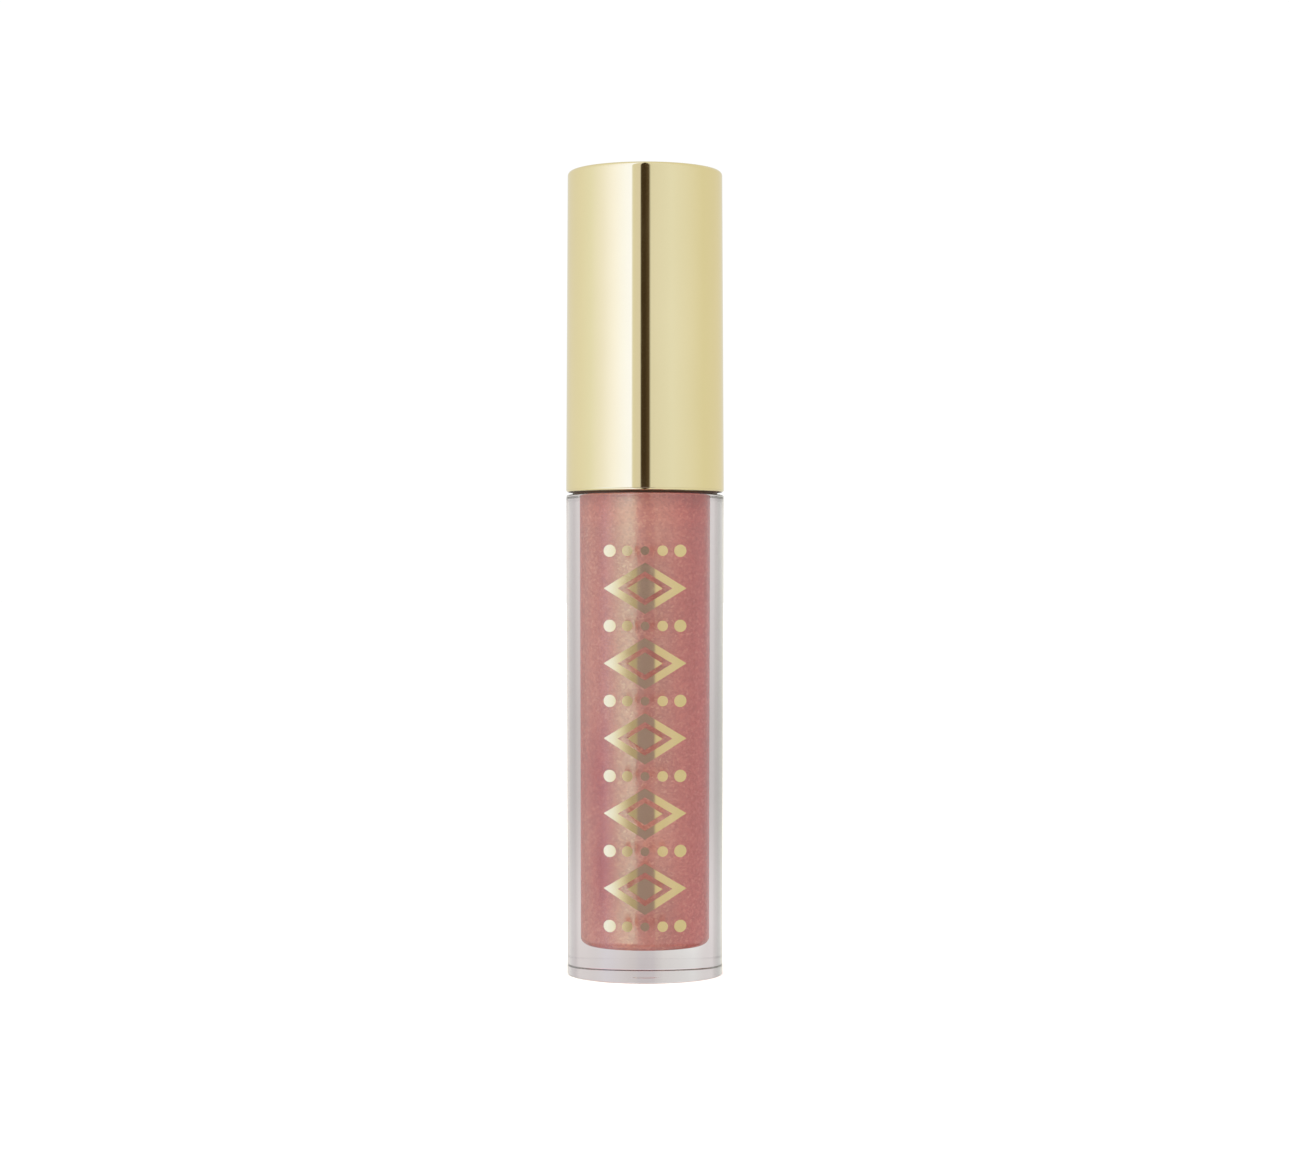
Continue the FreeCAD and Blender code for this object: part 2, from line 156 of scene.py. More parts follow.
# Flock: three-sided fibres that lean at random and a little downwards, on a backing under their tips.
FIBRE_COUNT = 9000
FIBRE_LENGTH = 0.34 * MM
FIBRE_SHORTEST = 0.75
FIBRE_RADIUS = 0.028 * MM
FIBRE_SIDES = 3
FIBRE_SPREAD = 0.28
FIBRE_DROOP = 0.25
BACKING_DEPTH = 0.8
# Faces nearer the axis than this that look inwards lie on the core and carry no fibres.
FLOCK_BORE = 1.45 * MM
# Least area that a face's direction is worked out with.
NO_AREA = 1e-18

# Camera: level, at the height where the tube shows no tilt.
CAMERA_DISTANCE = 330 * MM
CAMERA_HEIGHT = 45.3 * MM
CAMERA_SENSOR = 36
CAMERA_LENS = 79.3
CAMERA_CLIP = (0.01, 50)

# Bounces of light, enough to cross the thick wall and the threads.
CLEAR_BOUNCES = 32
GLOSSY_BOUNCES = 24

# Half the floor's width.
FLOOR_HALF = 6.0

rng = np.random.default_rng(7)


# ---------------------------------------------------------------- outlines and turned pieces


def soften(corners):
    """Rounds the corners (radius, height, round) of an outline, and gives its points and normals."""
    points = []
    normals = []
    count = len(corners)
    for index, (x, z, size) in enumerate(corners):
        here = np.array([x, z])
        if index in (0, count - 1):
            other = np.array(corners[1 if index == 0 else count - 2][:2])
            along = (other - here) if index == 0 else (here - other)
            along /= np.linalg.norm(along)
            points.append(here)
            normals.append(np.array([along[1], -along[0]]))
            continue
        before = np.array(corners[index - 1][:2]) - here
        after = np.array(corners[index + 1][:2]) - here
        before /= np.linalg.norm(before)
        after /= np.linalg.norm(after)
        half = math.acos(np.clip(before @ after, -1, 1)) / 2
        middle = before + after
        middle /= np.linalg.norm(middle)
        centre = here + middle * size / math.sin(half)
        start = here + before * size / math.tan(half) - centre
        end = here + after * size / math.tan(half) - centre
        turn = math.atan2(start[0] * end[1] - start[1] * end[0], start @ end)
        side = 1.0 if turn > 0 else -1.0
        for step in range(ARC_STEPS + 1):
            angle = turn * step / ARC_STEPS
            cos, sin = math.cos(angle), math.sin(angle)
            spoke = np.array([start[0] * cos - start[1] * sin, start[0] * sin + start[1] * cos])
            points.append(centre + spoke)
            normals.append(side * spoke / size)
    return np.array(points), np.array(normals)


def ease(share):
    """Softens both ends of a rise from zero to one."""
    return share * share * (3 - 2 * share)


def neck_ridge(angle, height):
    """How far the thread stands out of the neck at an angle and a height."""
    depth = np.zeros_like(height)
    for turn in range(int(THREAD_TURNS) + 1):
        run = angle + 2 * math.pi * turn
        middle = THREAD_START + THREAD_PITCH * run / (2 * math.pi)
        slope = (THREAD_FOOT_WIDTH - THREAD_CREST_WIDTH) / 2
        rise = np.clip((THREAD_FOOT_WIDTH / 2 - np.abs(height - middle)) / slope, 0, 1)
        ends = np.minimum(run, THREAD_TURNS * 2 * math.pi - run) / THREAD_RUN_OUT
        fade = np.clip(ends + 1, 0, 1)
        depth = np.maximum(depth, ease(rise) * ease(fade))
    return depth * THREAD_DEPTH


def mesh_object(name, vertices, faces, normals=None):
    """A smooth-shaded piece in the scene, with its own vertex normals where they are given."""
    mesh = bpy.data.meshes.new(name)
    mesh.from_pydata([tuple(v) for v in vertices], [], faces)
    mesh.validate()
    mesh.update()
    mesh.polygons.foreach_set("use_smooth", [True] * len(mesh.polygons))
    if normals is not None:
        mesh.normals_split_custom_set_from_vertices([tuple(n) for n in normals])
    piece = bpy.data.objects.new(name, mesh)
    bpy.context.scene.collection.objects.link(piece)
    return piece


def turned(name, points, normals, ridge=None, ridge_span=None):
    """Turns an outline that starts and ends on the axis about Z.

    A ridge, a function of angle and height, is added to the upright wall over a span of heights.
    """
    angles = np.arange(SEGMENTS) * 2 * math.pi / SEGMENTS
    cos, sin = np.cos(angles), np.sin(angles)
    vertices = [(0.0, 0.0, points[0][1])]
    facing = [(0.0, 0.0, math.copysign(1.0, normals[0][1]))]
    rows = points[1:-1]
    for (radius, height), (across, up) in zip(rows, normals[1:-1]):
        reach = np.full(SEGMENTS, radius)
        slope_round = np.zeros(SEGMENTS)
        slope_up = np.zeros(SEGMENTS)
        if ridge is not None and ridge_span[0] < height < ridge_span[1] and across > UPRIGHT:
            flat = np.full(SEGMENTS, height)
            reach = reach + ridge(angles, flat)
            over = ridge(angles, flat + SLOPE_RISE) - ridge(angles, flat - SLOPE_RISE)
            slope_up = over / (2 * SLOPE_RISE)
            onward = ridge(angles + SLOPE_TURN, flat) - ridge(angles - SLOPE_TURN, flat)
            slope_round = onward / (2 * SLOPE_TURN * radius)
        vertices.extend(zip(reach * cos, reach * sin, np.full(SEGMENTS, height)))
        normal_x = across * cos + slope_round * sin
        normal_y = across * sin - slope_round * cos
        normal_z = up - slope_up
        length = np.sqrt(normal_x**2 + normal_y**2 + normal_z**2)
        facing.extend(zip(normal_x / length, normal_y / length, normal_z / length))
    vertices.append((0.0, 0.0, points[-1][1]))
    facing.append((0.0, 0.0, math.copysign(1.0, normals[-1][1])))
    last = len(vertices) - 1
    faces = []
    for j in range(SEGMENTS):
        k = (j + 1) % SEGMENTS
        faces.append((0, 1 + k, 1 + j))
        for i in range(len(rows) - 1):
            low, high = 1 + i * SEGMENTS, 1 + (i + 1) * SEGMENTS
            faces.append((low + j, low + k, high + k, high + j))
        top = 1 + (len(rows) - 1) * SEGMENTS
        faces.append((top + j, top + k, last))
    return mesh_object(name, vertices, faces, facing)


# ---------------------------------------------------------------- nodes


class Nodes:
    """Short ways to add nodes to a tree. A value is a socket, a number or a colour."""

    def __init__(self, tree):
        self.tree = tree

    def add(self, kind, **settings):
        node = self.tree.nodes.new(kind)
        for key, value in settings.items():
            setattr(node, key, value)
        return node

    def feed(self, value, socket):
        """Links a socket to another, or sets it to a number or a colour."""
        if isinstance(value, bpy.types.NodeSocket):
            self.tree.links.new(value, socket)
        elif isinstance(value, (int, float)):
            socket.default_value = value
        else:
            socket.default_value = (*value, 1)

    def calc(self, operation, *values):
        node = self.add("ShaderNodeMath", operation=operation)
        for value, socket in zip(values, node.inputs):
            self.feed(value, socket)
        return node.outputs[0]

    def fit(self, source, low, high, new_low=0, new_high=1, soft=False):
        """Maps one span of numbers to another and stays inside it; soft eases both ends."""
        node = self.add("ShaderNodeMapRange", interpolation_type="SMOOTHSTEP" if soft else "LINEAR")
        spans = {"From Min": low, "From Max": high, "To Min": new_low, "To Max": new_high}
        for key, value in spans.items():
            node.inputs[key].default_value = value
        self.feed(source, node.inputs["Value"])
        return node.outputs["Result"]

    def ramp(self, source, stops):
        node = self.add("ShaderNodeValToRGB")
        elements = node.color_ramp.elements
        while len(elements) < len(stops):
            elements.new(0.5)
        for element, (position, colour) in zip(elements, stops):
            element.position = position
            element.color = (*colour, 1)
        self.feed(source, node.inputs["Fac"])
        return node.outputs["Color"]

    def mix(self, factor, first, second, blend="MIX"):
        node = self.add("ShaderNodeMix", data_type="RGBA", blend_type=blend)
        for value, index in ((factor, 0), (first, 6), (second, 7)):
            self.feed(value, node.inputs[index])
        return node.outputs[2]

    def scale(self, colour, factor):
        node = self.add("ShaderNodeVectorMath", operation="SCALE")
        self.feed(colour, node.inputs[0])
        self.feed(factor, node.inputs["Scale"])
        return node.outputs[0]


class Surface(Nodes):
    """A material on the Principled shader. Sizes of its texture are in millimetres."""

    # Most of what a noise node gives lies in this span.
    NOISE_SPAN = (0.3, 0.7)

    def __init__(self, name):
        self.material = bpy.data.materials.new(name)
        self.material.use_nodes = True
        super().__init__(self.material.node_tree)
        self.shader = self.tree.nodes["Principled BSDF"]
        self.place = self.add("ShaderNodeTexCoord").outputs["Object"]

    def set(self, **values):
        """Feeds the shader's sockets, whose names are written small and with underscores."""
        for key, value in values.items():
            name = key.replace("_", " ").title().replace("Ior", "IOR")
            self.feed(value, self.shader.inputs[name])

    def along(self, axis):
        """The piece's own coordinate along an axis, in metres."""
        split = self.add("ShaderNodeSeparateXYZ")
        self.feed(self.place, split.inputs[0])
        return split.outputs[axis]

    def measured(self, units):
        """The piece's own coordinates, counted in a unit of so many millimetres along each axis."""
        mapping = self.add("ShaderNodeMapping")
        mapping.inputs["Scale"].default_value = [1 / (unit * MM) for unit in units]
        self.feed(self.place, mapping.inputs["Vector"])
        return mapping.outputs["Vector"]

    def noise(self, size, detail=2.0, stretch=(1, 1, 1)):
        """Noise with features of a given size, drawn out along the axes by stretch."""
        node = self.add("ShaderNodeTexNoise")
        node.inputs["Scale"].default_value = 1 / size
        node.inputs["Detail"].default_value = detail
        self.feed(self.measured(stretch), node.inputs["Vector"])
        return node.outputs["Fac"]

    def two_tone(self, noise, dark, light):
        low, high = self.NOISE_SPAN
        return self.ramp(noise, [(low, dark), (high, light)])

    def vary(self, noise, low, high):
        """Turns noise into a number between two."""
        return self.fit(noise, *self.NOISE_SPAN, low, high)

    def grains(self, size):
        """Random grains of a given size: their colours, and the distance from the middle of each."""
        node = self.add("ShaderNodeTexVoronoi")
        node.inputs["Scale"].default_value = 1.0
        self.feed(self.measured((size, size, size)), node.inputs["Vector"])
        return node.outputs["Color"], node.outputs["Distance"]

    def swirl(self, middle, reach):
        """One at a middle, falling softly to zero at a reach across and at twice that up and down."""
        away = self.add("ShaderNodeVectorMath", operation="DISTANCE")
        self.feed(self.measured((1, 1, 2)), away.inputs[0])
        away.inputs[1].default_value = (middle[0], middle[1], middle[2] / 2)
        return self.fit(away.outputs["Value"], 0, reach, 1, 0, soft=True)

    def bump(self, height, depth, strength=1.0):
        """Relief of a given depth."""
        node = self.add("ShaderNodeBump")
        node.inputs["Distance"].default_value = depth * MM
        node.inputs["Strength"].default_value = strength
        self.feed(height, node.inputs["Height"])
        return node.outputs["Normal"]


# ---------------------------------------------------------------- materials


def gold_plating():
    """Vacuum-metallised shell under clear lacquer: a mirror with faint orange peel and handling marks."""
    s = Surface("gold_plating")
    s.set(
        metallic=1.0,
        base_color=s.two_tone(s.noise(9.0, 3.0, (1, 1, 2.5)), (0.79, 0.700, 0.405), (0.82, 0.725, 0.43)),
        roughness=s.fit(s.noise(1.4, 5.0, (1, 1, 3)), 0.3, 0.75, 0.035, 0.075),
        normal=s.bump(s.noise(2.6, 2.0), 0.0006),
    )
    return s.material


def raw_plastic_and_gap_shade():
    """Unplated amber plastic inside the cap shell, dark enough that it also paints the shade in the gap
    under the cap.
    """
    s = Surface("raw_plastic_and_gap_shade")
    s.set(
        base_color=s.two_tone(s.noise(2.0, 3.0), (0.075, 0.05, 0.03), (0.095, 0.062, 0.036)),
        roughness=s.vary(s.noise(0.5, 3.0), 0.5, 0.65),
        normal=s.bump(s.noise(0.3, 3.0), 0.002),
    )
    return s.material


def gold_foil():
    """Hot-stamped foil: a slightly grained mirror, a little redder and rougher than the cap."""
    s = Surface("gold_foil")
    s.set(
        metallic=1.0,
        base_color=s.two_tone(s.noise(2.0, 3.0), (0.79, 0.655, 0.35), (0.82, 0.685, 0.375)),
        roughness=s.vary(s.noise(0.35, 4.0), 0.06, 0.12),
        normal=s.bump(s.noise(0.5, 3.0), 0.0004),
    )
    return s.material


def clear_plastic():
    """Thick polished copolyester with a trace of flow in its skin."""
    s = Surface("clear_plastic")
    s.set(
        roughness=0.0,
        ior=1.57,
        transmission_weight=1.0,
        base_color=s.two_tone(s.noise(14.0, 2.0, (1, 1, 3)), (0.955, 0.935, 0.935), (0.975, 0.96, 0.96)),
        normal=s.bump(s.noise(5.0, 1.0, (1, 1, 2)), 0.0008),
    )
    return s.material


def gloss_product():
    """Rose product full of pearl: slow vertical flow and a fine shimmer under a wet pearly skin, with
    painted shade on its right and painted light under the shoulder.
    """
    s = Surface("gloss_product")
    flow = s.ramp(
        s.noise(3.0, 4.0, (1, 1, 5)),
        [(0.3, (0.53, 0.163, 0.125)), (0.55, (0.56, 0.18, 0.138)), (0.75, (0.59, 0.20, 0.155))],
    )
    grain_colour, grain_distance = s.grains(0.24)
    grain = s.ramp(
        grain_colour,
        [(0.0, (0.84, 0.76, 0.76)), (0.7, (1.03, 1.04, 1.03)), (1.0, (1.15, 1.5, 1.45))],
    )
    pearl = s.mix(1.0, flow, grain, "MULTIPLY")
    for middle, reach, tint in SWIRLS:
        pearl = s.mix(s.swirl(middle, reach), pearl, tint, "MULTIPLY")
    # Painted shade: the right side of the product is darkened and deepened.
    pearl = s.mix(s.fit(s.along("X"), *SHADED_SIDE), pearl, SHADED_SIDE_TINT, "MULTIPLY")
    # Painted light: the product is lightened just under the shoulder, against the cap's shade.
    pearl = s.mix(s.fit(s.along("Z"), *LIT_TOP_SPAN), pearl, LIT_TOP_TINT, "MULTIPLY")
    relief = s.bump(grain_distance, 0.03, 0.3)
    s.set(
        specular_ior_level=0.0,
        base_color=pearl,
        roughness=s.vary(s.noise(0.3, 3.0), 0.35, 0.5),
        normal=relief,
        coat_weight=0.74,
        coat_roughness=0.2,
        coat_ior=2.5,
        coat_normal=relief,
    )
    return s.material


def moulded(name, colour, roughness, wet_below=None, shine=0.5):
    """Plain moulded plastic with soft tone and texture; under wet_below it wears a film of product."""
    s = Surface(name)
    tone = s.two_tone(s.noise(3.0, 3.0), [channel * MOULDED_DARK for channel in colour], colour)
    if wet_below is None:
        finish = s.vary(s.noise(0.4, 4.0), roughness, roughness + MOULDED_WEAR)
    else:
        wet = s.fit(s.along("Z"), wet_below - FILM_FADE, wet_below, 1, 0)
        patchy = s.fit(s.noise(2.2, 3.0, (1, 1, 3)), *FILM_NOISE, *FILM_COVER)
        film = s.calc("MULTIPLY", wet, patchy)
        tone = s.mix(film, tone, FILM_COLOUR)
        finish = s.fit(film, 0, 1, roughness, FILM_ROUGHNESS)
    s.set(specular_ior_level=shine, base_color=tone, roughness=finish)
    s.set(normal=s.bump(s.noise(0.25, 3.0), 0.002))
    return s.material


def nylon_flock():
    """Short nylon fibres, matted with product."""
    s = Surface("nylon_flock")
    s.set(
        base_color=s.ramp(
            s.noise(0.5, 4.0),
            [(0.3, (0.30, 0.10, 0.08)), (0.55, (0.38, 0.145, 0.115)), (0.75, (0.48, 0.22, 0.18))],
        ),
        roughness=s.vary(s.noise(0.3, 2.0), 0.3, 0.6),
        sheen_weight=0.15,
    )
    return s.material


def pale_floor():
    """Matt white board."""
    s = Surface("pale_floor")
    s.set(
        base_color=s.two_tone(s.noise(40.0, 3.0), (0.93, 0.93, 0.93), (0.95, 0.95, 0.95)),
        roughness=0.8,
    )
    return s.material


def dress(piece, material):
    """Gives every slot of a piece the same material."""
    if not piece.material_slots:
        piece.data.materials.append(material)
    for held in piece.material_slots:
        held.material = material


# ---------------------------------------------------------------- pieces


def make_bottle():
    """The wall, base, neck and thread as one clear solid, with the cavity open at the top."""
    low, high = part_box("bottle")
    corners = [
        (0.0, low.z + GATE_DEPTH, 0),
        (GATE_RADIUS, low.z + GATE_DEPTH, GATE_ROUND),
        (GATE_RADIUS, low.z, GATE_ROUND),
        (FOOT_RADIUS, low.z, FOOT_ROUND),
        (SHOULDER_RADIUS, SHOULDER_HEIGHT, SHOULDER_ROUND),
        (STEP_RADIUS, SHOULDER_HEIGHT, STEP_FOOT_ROUND),
        (STEP_RADIUS, STEP_TOP, STEP_ROUND),
        (NECK_RADIUS, STEP_TOP, STEP_ROUND),
        (NECK_RADIUS, BEAD_FOOT, STEP_ROUND),
        (BEAD_RADIUS, BEAD_FOOT, BEAD_ROUND),
        (BEAD_RADIUS, BEAD_TOP, BEAD_ROUND),
        (NECK_RADIUS, BEAD_TOP, BEAD_ROUND),
        (NECK_RADIUS, high.z, NECK_TOP_ROUND),
        (NECK_BORE, high.z, BORE_TOP_ROUND),
        (NECK_BORE, NECK_BORE_FOOT, BORE_FOOT_ROUND),
        (CAVITY_FOOT_RADIUS, CAVITY_FLOOR, CAVITY_ROUND),
        (0.0, CAVITY_FLOOR, 0),
    ]
    points, normals = soften(corners)
    span = (
        THREAD_START - THREAD_FOOT_WIDTH,
        THREAD_START + THREAD_PITCH * THREAD_TURNS + THREAD_FOOT_WIDTH,
    )
    heights = np.arange(span[0], span[1], THREAD_ROW)
    neck_rows = np.column_stack([np.full(len(heights), NECK_RADIUS), heights])
    on_neck = np.abs(points[:, 0] - NECK_RADIUS) < SAME_LENGTH
    above_bead = (points[:, 1] > BEAD_TOP) & (normals[:, 0] > UPRIGHT)
    at = int(np.nonzero(on_neck & above_bead)[0][0]) + 1
    points = np.insert(points, at, neck_rows, axis=0)
    normals = np.insert(normals, at, np.tile([1.0, 0.0], (len(heights), 1)), axis=0)
    bottle = turned("clear_bottle", points, normals, neck_ridge, span)
    dress(bottle, clear_plastic())
    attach(bottle, "bottle")
    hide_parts("bottle")


def make_gloss():
    """The product that fills the cavity, with the channel where the wand stands."""
    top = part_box("lip_gloss")[1].z
    foot = CAVITY_FLOOR - WET_CONTACT
    corners = [
        (0.0, foot, 0),
        (CAVITY_FOOT_RADIUS + WET_CONTACT, foot, CAVITY_ROUND + WET_CONTACT),
        (NECK_BORE + WET_CONTACT, top, LEVEL_ROUND),
        (CHANNEL_RADIUS, top, CHANNEL_TOP_ROUND),
        (CHANNEL_RADIUS, CHANNEL_FLOOR, CHANNEL_FLOOR_ROUND),
        (0.0, CHANNEL_FLOOR, 0),
    ]
    gloss = turned("rose_gloss", *soften(corners))
    dress(gloss, gloss_product())
    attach(gloss, "bottle")
    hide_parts("lip_gloss")


def make_cap():
    """The plated shell; its inside and the underside of its rim are raw plastic, dark enough to paint the
    shade of the gap under the cap.
    """
    low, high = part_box("outer_cap")
    ceiling = high.z - CAP_TOP_THICKNESS
    corners = [
        (0.0, ceiling, 0),
        (CAP_TOP_RADIUS - CAP_WALL_AT_TOP, ceiling, CAP_INSIDE_TOP_ROUND),
        (high.x - CAP_WALL_AT_RIM, low.z, CAP_INSIDE_RIM_ROUND),
        (high.x, low.z, CAP_RIM_ROUND),
        (CAP_TOP_RADIUS, high.z, CAP_TOP_ROUND),
        (0.0, high.z, 0),
    ]
    cap = turned("gold_cap", *soften(corners))
    dress(cap, gold_plating())
    cap.data.materials.append(raw_plastic_and_gap_shade())
    for face in cap.data.polygons:
        inward = face.normal.x * face.center.x + face.normal.y * face.center.y < 0
        if inward or face.normal.z < DOWNWARD:
            face.material_index = 1
    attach(cap, "cap")
    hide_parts("outer_cap")


def rhombus(half, middle, steps):
    """Points round an upright rhombus in the plane of the front."""
    tips = [(half[0], 0), (0, half[1]), (-half[0], 0), (0, -half[1])]
    path = []
    for (x0, z0), (x1, z1) in zip(tips, tips[1:] + tips[:1]):
        for step in range(steps):
            share = step / steps
            path.append((x0 + (x1 - x0) * share, middle + z0 + (z1 - z0) * share))
    return np.array(path)


def ring(radius, across, middle, steps):
    """Points round a circle in the plane of the front."""
    angles = np.arange(steps) * 2 * math.pi / steps
    return np.column_stack([across + radius * np.cos(angles), middle + radius * np.sin(angles)])


def wall_radius(height):
    """Radius of the bottle's drafted outside at a height."""
    return FOOT_RADIUS + (SHOULDER_RADIUS - FOOT_RADIUS) * height / SHOULDER_HEIGHT


def stamp(vertices, facing, faces, outer, inner, rows):
    """Adds one closed piece of foil between two paths on the front; inner is None for a filled shape."""
    filled = inner is None
    centre = outer.mean(axis=0)
    if filled:
        inner = np.tile(centre, (len(outer), 1))
    count = len(outer)
    levels = rows if filled else rows + 1
    starts = []
    for lift, side in ((FOIL_GAP + FOIL_THICKNESS, 1.0), (FOIL_GAP, -1.0)):
        starts.append(len(vertices))
        for row in range(levels):
            path = outer + (inner - outer) * row / rows
            reach = wall_radius(path[:, 1]) + lift
            depth = -np.sqrt(reach**2 - path[:, 0] ** 2)
            vertices.extend(zip(path[:, 0], depth, path[:, 1]))
            facing.extend(zip(side * path[:, 0] / reach, side * depth / reach, np.zeros(count)))
        if filled:
            reach = wall_radius(centre[1]) + lift
            depth = -math.sqrt(reach**2 - centre[0] ** 2)
            vertices.append((centre[0], depth, centre[1]))
            facing.append((side * centre[0] / reach, side * depth / reach, 0))
    front, back = starts
    for j in range(count):
        k = (j + 1) % count
        for row in range(levels - 1):
            a, b = row * count, (row + 1) * count
            faces.append((front + a + j, front + a + k, front + b + k, front + b + j))
            faces.append((back + a + k, back + a + j, back + b + j, back + b + k))
        faces.append((front + k, front + j, back + j, back + k))
        last = (levels - 1) * count
        if filled:
            faces.append((front + last + j, front + last + k, front + levels * count))
            faces.append((back + last + k, back + last + j, back + levels * count))
        else:
            faces.append((front + last + j, front + last + k, back + last + k, back + last + j))


def make_ornament():
    """Lozenges with rows of dots between them, stamped on the front of the bottle."""
    low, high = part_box("foil_motif")
    middle = (low.z + high.z) / 2
    vertices, facing, faces = [], [], []
    for index in range(LOZENGE_COUNT):
        height = middle + (index - (LOZENGE_COUNT - 1) / 2) * LOZENGE_PITCH
        edge = rhombus(FRAME_HALF, height, FRAME_STEPS)
        window = rhombus(WINDOW_HALF, height, FRAME_STEPS)
        stamp(vertices, facing, faces, edge, window, FRAME_ROWS)
        stamp(vertices, facing, faces, rhombus(CORE_HALF, height, CORE_STEPS), None, CORE_ROWS)
    for index in range(LOZENGE_COUNT + 1):
        height = middle + (index - LOZENGE_COUNT / 2) * LOZENGE_PITCH
        for offset, radius in DOTS:
            for side in (-1, 1) if offset else (1,):
                dot = ring(radius, side * offset, height, DOT_STEPS)
                stamp(vertices, facing, faces, dot, None, DOT_ROWS)
    ornament = mesh_object("gold_ornament", vertices, faces, facing)
    dress(ornament, gold_foil())
    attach(ornament, "bottle")
    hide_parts("foil_motif")


def make_flock():
    """Fibres that stand on the applicator, rooted under the CAD surface so that their tips end at it."""
    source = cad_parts["applicator_flock"].data
    source.calc_loop_triangles()
    triangles = [[source.vertices[i].co for i in t.vertices] for t in source.loop_triangles]
    corners = np.array(triangles, float)
    across = np.cross(corners[:, 1] - corners[:, 0], corners[:, 2] - corners[:, 0])
    area = np.linalg.norm(across, axis=1)
    outward = across / np.maximum(area, NO_AREA)[:, None]
    middle = corners.mean(axis=1)
    near_axis = np.hypot(middle[:, 0], middle[:, 1]) < FLOCK_BORE
    facing_in = np.einsum("ij,ij->i", outward[:, :2], middle[:, :2]) < 0
    chance = np.where(near_axis & facing_in, 0, area)
    chosen = rng.choice(len(corners), size=FIBRE_COUNT, p=chance / chance.sum())
    mixed = rng.random((FIBRE_COUNT, 2))
    mixed = np.where(mixed.sum(axis=1, keepdims=True) > 1, 1 - mixed, mixed)
    first, second, third = corners[chosen].transpose(1, 0, 2)
    spots = first + mixed[:, :1] * (second - first) + mixed[:, 1:] * (third - first)
    scatter = rng.normal(0, FIBRE_SPREAD, (FIBRE_COUNT, 3))
    lean = outward[chosen] + scatter + np.array([0, 0, -FIBRE_DROOP])
    lean /= np.linalg.norm(lean, axis=1)[:, None]
    roots = spots - outward[chosen] * FIBRE_LENGTH
    tips = roots + lean * FIBRE_LENGTH * rng.uniform(FIBRE_SHORTEST, 1.0, FIBRE_COUNT)[:, None]
    side = np.cross(lean, rng.normal(0, 1, (FIBRE_COUNT, 3)))
    side /= np.linalg.norm(side, axis=1)[:, None]
    other_side = np.cross(lean, side)
    vertices, faces = [], []
    for index in range(FIBRE_COUNT):
        start = len(vertices)
        for turn in range(FIBRE_SIDES):
            angle = 2 * math.pi * turn / FIBRE_SIDES
            spoke = side[index] * math.cos(angle) + other_side[index] * math.sin(angle)
            vertices.append(roots[index] + spoke * FIBRE_RADIUS)
        vertices.append(tips[index])
        faces.extend([(start, start + 1, start + 3), (start + 1, start + 2, start + 3)])
        faces.extend([(start + 2, start, start + 3), (start + 2, start + 1, start)])
    start = len(vertices)
    normals = np.array([v.normal for v in source.vertices], float)
    places = np.array([v.co for v in source.vertices], float)
    vertices.extend(places - normals * FIBRE_LENGTH * BACKING_DEPTH)
    faces.extend(tuple(start + i for i in face.vertices) for face in source.polygons)
    flock = mesh_object("flock_fibres", vertices, faces)
    dress(flock, nylon_flock())
    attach(flock, "cap")
    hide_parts("applicator_flock")


def finish_inner_parts():
    """Materials for the CAD pieces that show only when the cap is off."""
    wet_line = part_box("lip_gloss")[1].z
    plain = {
        # The inner cap's dark brown is partly painted shade: it darkens the gap under the cap.
        "inner_cap": moulded("dark_plastic", (0.075, 0.032, 0.018), 0.35, shine=0.2),
        "cap_liner": moulded("liner_foam", (0.62, 0.61, 0.59), 0.6),
        "wiper": moulded("wiper_plastic", (0.50, 0.488, 0.468), 0.3),
        "wand_stem": moulded("stem_plastic", (0.06, 0.034, 0.022), 0.22, wet_below=wet_line),
        "applicator_core": moulded("core_plastic", (0.60, 0.55, 0.52), 0.3),
    }
    for node, material in plain.items():
        dress(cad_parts[node], material)


# ---------------------------------------------------------------- studio


def make_camera():
    data = bpy.data.cameras.new("camera")
    data.sensor_width = CAMERA_SENSOR
    data.lens = CAMERA_LENS
    data.clip_start, data.clip_end = CAMERA_CLIP
    camera = bpy.data.objects.new("camera", data)
    camera.location = (0, -CAMERA_DISTANCE, CAMERA_HEIGHT)
    camera.rotation_euler = (math.radians(90), 0, 0)
    bpy.context.scene.collection.objects.link(camera)
    bpy.context.scene.camera = camera


# Studio light by compass angle from the camera's side of the tube, in degrees, negative to its left.
# Reflected rays above the joint of cap and bottle.
UPPER_CARDS = [
    (-180, (0.80, 0.78, 0.72)),
    (-150, (0.84, 0.82, 0.77)),
    (-110, (0.91, 0.90, 0.86)),
    (-88, (0.95, 0.97, 0.98)),
    (-66, (1.05, 1.07, 1.26)),
    (-46, (1.17, 1.22, 1.62)),
    (-28, (1.21, 1.31, 1.92)),
    (-18.9, (1.22, 1.33, 2.0)),
    (-18.1, (0.86, 0.85, 0.82)),
    (-6.3, (0.83, 0.80, 0.82)),
    (-5.6, (0.065, 0.045, 0.025)),
    (0.5, (0.055, 0.035, 0.02)),
    (3.6, (0.095, 0.066, 0.038)),
    (6.4, (0.10, 0.07, 0.045)),
    (7.8, (0.88, 0.88, 0.90)),
    (40, (0.94, 0.96, 1.0)),
    (66, (0.91, 0.91, 0.89)),
    (95, (0.86, 0.84, 0.73)),
    (134, (0.86, 0.83, 0.74)),
    (180, (0.80, 0.78, 0.72)),
]
